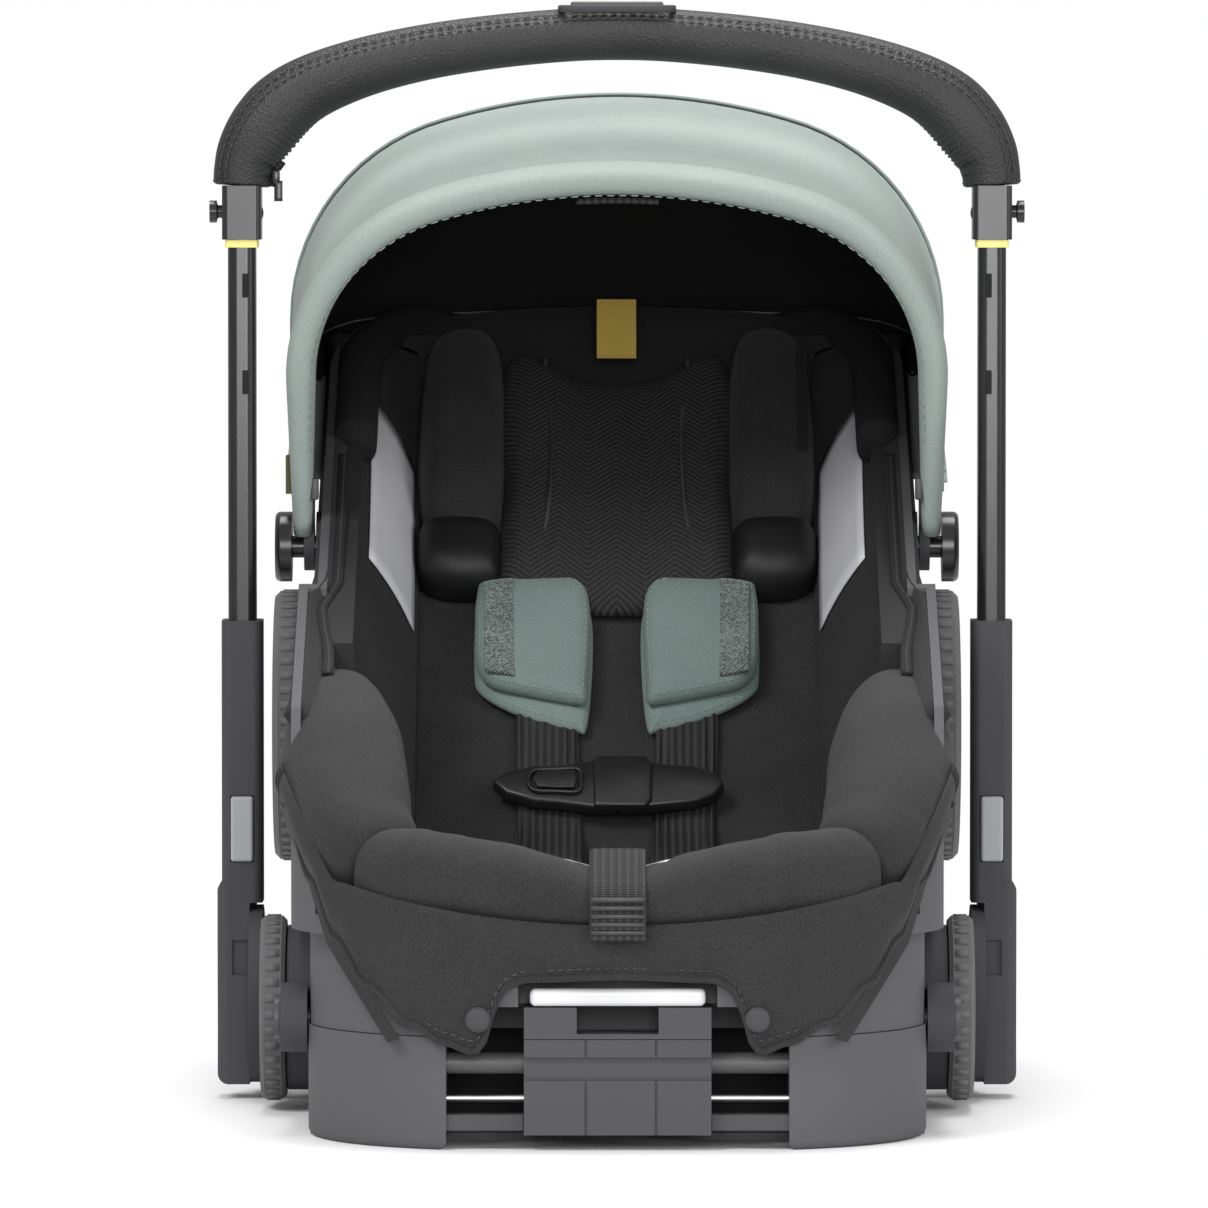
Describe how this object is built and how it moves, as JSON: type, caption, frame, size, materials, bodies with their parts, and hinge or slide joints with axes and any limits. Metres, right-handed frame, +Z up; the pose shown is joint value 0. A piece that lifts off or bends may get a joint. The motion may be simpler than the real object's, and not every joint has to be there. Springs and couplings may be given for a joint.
{
  "type": "infant car seat",
  "caption": "Infant car seat with a folded wheel frame, telescopic tilting handle, folding canopy, padded bucket, five-point harness with chest clip, and a latch bracket under the foot end.",
  "frame": {"origin": "middle of the flat base, on the surface that the seat stands on", "axes": "+Z up, +Y towards the head end, +X to the right seen from the foot end"},
  "size_m": [0.439, 0.6569, 0.5912],
  "materials": {
    "shell_plastic": "moulded, fine grain",
    "foam": "moulded bead foam under a thin cloth skin",
    "bracket_plastic": "moulded",
    "housing_plastic": "moulded, satin",
    "gloss_black": "moulded, gloss",
    "grey_plastic": "moulded",
    "grey_button": "moulded, satin",
    "pull_grip": "moulded",
    "button_red": "moulded",
    "yellow_ring": "moulded",
    "steel": "brushed",
    "tube_paint": "satin black paint",
    "leatherette": "grained, stitched",
    "seat_fabric": "charcoal weave",
    "knit_fabric": "herringbone knit",
    "liner_fabric": "smooth charcoal cloth",
    "sage_fabric": "brushed sage cloth",
    "label": "bare label stock",
    "webbing": "woven webbing",
    "yellow_webbing": "woven webbing",
    "tyre": "grey foam-filled rubber",
    "rim_plastic": "moulded"
  },
  "bodies": {
    "base": {"seat_shell": "shell_plastic", "foam_liner": "foam", "front_feet": "shell_plastic", "front_bracket": "bracket_plastic", "cross_tube": "grey_plastic", "steel_rod": "steel", "lower_bars": "bracket_plastic", "bracket_head": "bracket_plastic", "seat_pad": "seat_fabric", "back_pad": "seat_fabric", "headrest_panel": "knit_fabric", "headrest_wings": "seat_fabric", "side_liners": "liner_fabric", "side_labels": "label", "front_bolster": "seat_fabric", "side_bolsters": "seat_fabric", "foot_skirt": "seat_fabric", "rim_trim": "gloss_black", "skirt_snaps": "gloss_black", "shoulder_straps": "webbing", "shoulder_pads": "sage_fabric", "buckle_tongues": "steel", "buckle_body": "gloss_black", "crotch_strap": "webbing", "chest_clip_left": "gloss_black", "chest_clip_right": "gloss_black", "pull_strap": "yellow_webbing", "canopy_rear_cover": "sage_fabric", "canopy_housings": "gloss_black", "frame_pins": "steel"},
    "pull_bar": {"pull_bar": "pull_grip"},
    "buckle_button": {"buckle_button": "button_red"},
    "chest_clip_button": {"chest_clip_button": "gloss_black"},
    "canopy_front": {"canopy_front_bow": "sage_fabric"},
    "canopy_mid": {"canopy_mid_bow": "housing_plastic", "canopy_front_cover": "sage_fabric"},
    "handle_lower": {"leg_housing_left": "housing_plastic", "leg_housing_right": "housing_plastic"},
    "handle_upper": {"handle_tubes": "tube_paint", "lock_rings": "yellow_ring", "upper_collars": "gloss_black", "thumb_knobs": "gloss_black", "handle_grip": "leatherette", "grip_crossbar": "tube_paint"},
    "handle_button": {"handle_button": "grey_plastic"},
    "leg_release_left": {"leg_release_left": "grey_button"},
    "leg_release_right": {"leg_release_right": "grey_button"},
    "rear_leg_left": {"rear_leg_left": "housing_plastic"},
    "rear_wheel_left": {"rear_wheel_left_tyre": "tyre", "rear_wheel_left_rim": "rim_plastic"},
    "rear_leg_right": {"rear_leg_right": "housing_plastic"},
    "rear_wheel_right": {"rear_wheel_right_tyre": "tyre", "rear_wheel_right_rim": "rim_plastic"},
    "front_leg_left": {"front_leg_left": "housing_plastic"},
    "front_wheel_left": {"front_wheel_left_tyre": "tyre", "front_wheel_left_rim": "rim_plastic"},
    "front_leg_right": {"front_leg_right": "housing_plastic"},
    "front_wheel_right": {"front_wheel_right_tyre": "tyre", "front_wheel_right_rim": "rim_plastic"}
  },
  "joints": [
    {"name": "handle_tilt", "type": "hinge", "parent": "base", "child": "handle_lower", "pos_m": [0, 0.02, 0.056], "axis": [-1, 0, 0], "range_deg": [0, 70]},
    {"name": "handle_extend", "type": "slide", "parent": "handle_lower", "child": "handle_upper", "axis": [0, 0, 1], "range_m": [0, 0.1]},
    {"name": "handle_button_press", "type": "slide", "parent": "handle_upper", "child": "handle_button", "axis": [0, 0, -1], "range_m": [0, 0.002], "stiffness_N_per_m": 400, "springref_m": -0.002},
    {"name": "leg_release_left_press", "type": "slide", "parent": "handle_lower", "child": "leg_release_left", "axis": [0, 1, 0], "range_m": [0, 0.002], "stiffness_N_per_m": 400, "springref_m": -0.002},
    {"name": "leg_release_right_press", "type": "slide", "parent": "handle_lower", "child": "leg_release_right", "axis": [0, 1, 0], "range_m": [0, 0.002], "stiffness_N_per_m": 400, "springref_m": -0.002},
    {"name": "canopy_mid_fold", "type": "hinge", "parent": "base", "child": "canopy_mid", "pos_m": [0, 0.06, 0.296], "axis": [-1, 0, 0], "range_deg": [0, 37], "deforming": ["canopy_front_cover", "canopy_rear_cover"]},
    {"name": "canopy_front_fold", "type": "hinge", "parent": "canopy_mid", "child": "canopy_front", "pos_m": [0, 0.06, 0.296], "axis": [-1, 0, 0], "range_deg": [0, 16]},
    {"name": "rear_leg_left_fold", "type": "hinge", "parent": "base", "child": "rear_leg_left", "pos_m": [0, 0.02, 0.056], "axis": [-1, 0, 0], "range_deg": [0, 60]},
    {"name": "rear_leg_right_fold", "type": "hinge", "parent": "base", "child": "rear_leg_right", "pos_m": [0, 0.02, 0.056], "axis": [-1, 0, 0], "range_deg": [0, 60]},
    {"name": "front_leg_left_fold", "type": "hinge", "parent": "base", "child": "front_leg_left", "pos_m": [0, -0.19, 0.06], "axis": [-1, 0, 0], "range_deg": [0, 93]},
    {"name": "front_leg_right_fold", "type": "hinge", "parent": "base", "child": "front_leg_right", "pos_m": [0, -0.19, 0.06], "axis": [-1, 0, 0], "range_deg": [0, 93]},
    {"name": "pull_bar_pull", "type": "slide", "parent": "base", "child": "pull_bar", "axis": [0, -1, 0], "range_m": [0, 0.012]},
    {"name": "buckle_press", "type": "slide", "parent": "base", "child": "buckle_button", "axis": [0, 0, -1], "range_m": [0, 0.002], "stiffness_N_per_m": 400, "springref_m": -0.002},
    {"name": "chest_clip_press", "type": "slide", "parent": "base", "child": "chest_clip_button", "axis": [0, 0.7071, -0.7071], "range_m": [0, 0.0015], "stiffness_N_per_m": 400, "springref_m": -0.002},
    {"name": "rear_wheel_left_spin", "type": "hinge", "parent": "rear_leg_left", "child": "rear_wheel_left", "pos_m": [-0.1808, 0.225, 0.19], "axis": [1, 0, 0], "continuous": true},
    {"name": "rear_wheel_right_spin", "type": "hinge", "parent": "rear_leg_right", "child": "rear_wheel_right", "pos_m": [0.1808, 0.225, 0.19], "axis": [1, 0, 0], "continuous": true},
    {"name": "front_wheel_left_spin", "type": "hinge", "parent": "front_leg_left", "child": "front_wheel_left", "pos_m": [-0.1831, -0.05, 0.054], "axis": [1, 0, 0], "continuous": true},
    {"name": "front_wheel_right_spin", "type": "hinge", "parent": "front_leg_right", "child": "front_wheel_right", "pos_m": [0.1831, -0.05, 0.054], "axis": [1, 0, 0], "continuous": true}
  ],
  "couplings": [
    {"joint": "rear_leg_right_fold", "follows": "rear_leg_left_fold", "ratio": 1},
    {"joint": "front_leg_left_fold", "follows": "rear_leg_left_fold", "ratio": 1.55},
    {"joint": "front_leg_right_fold", "follows": "rear_leg_left_fold", "ratio": 1.55},
    {"joint": "canopy_front_fold", "follows": "canopy_mid_fold", "ratio": 0.43}
  ]
}
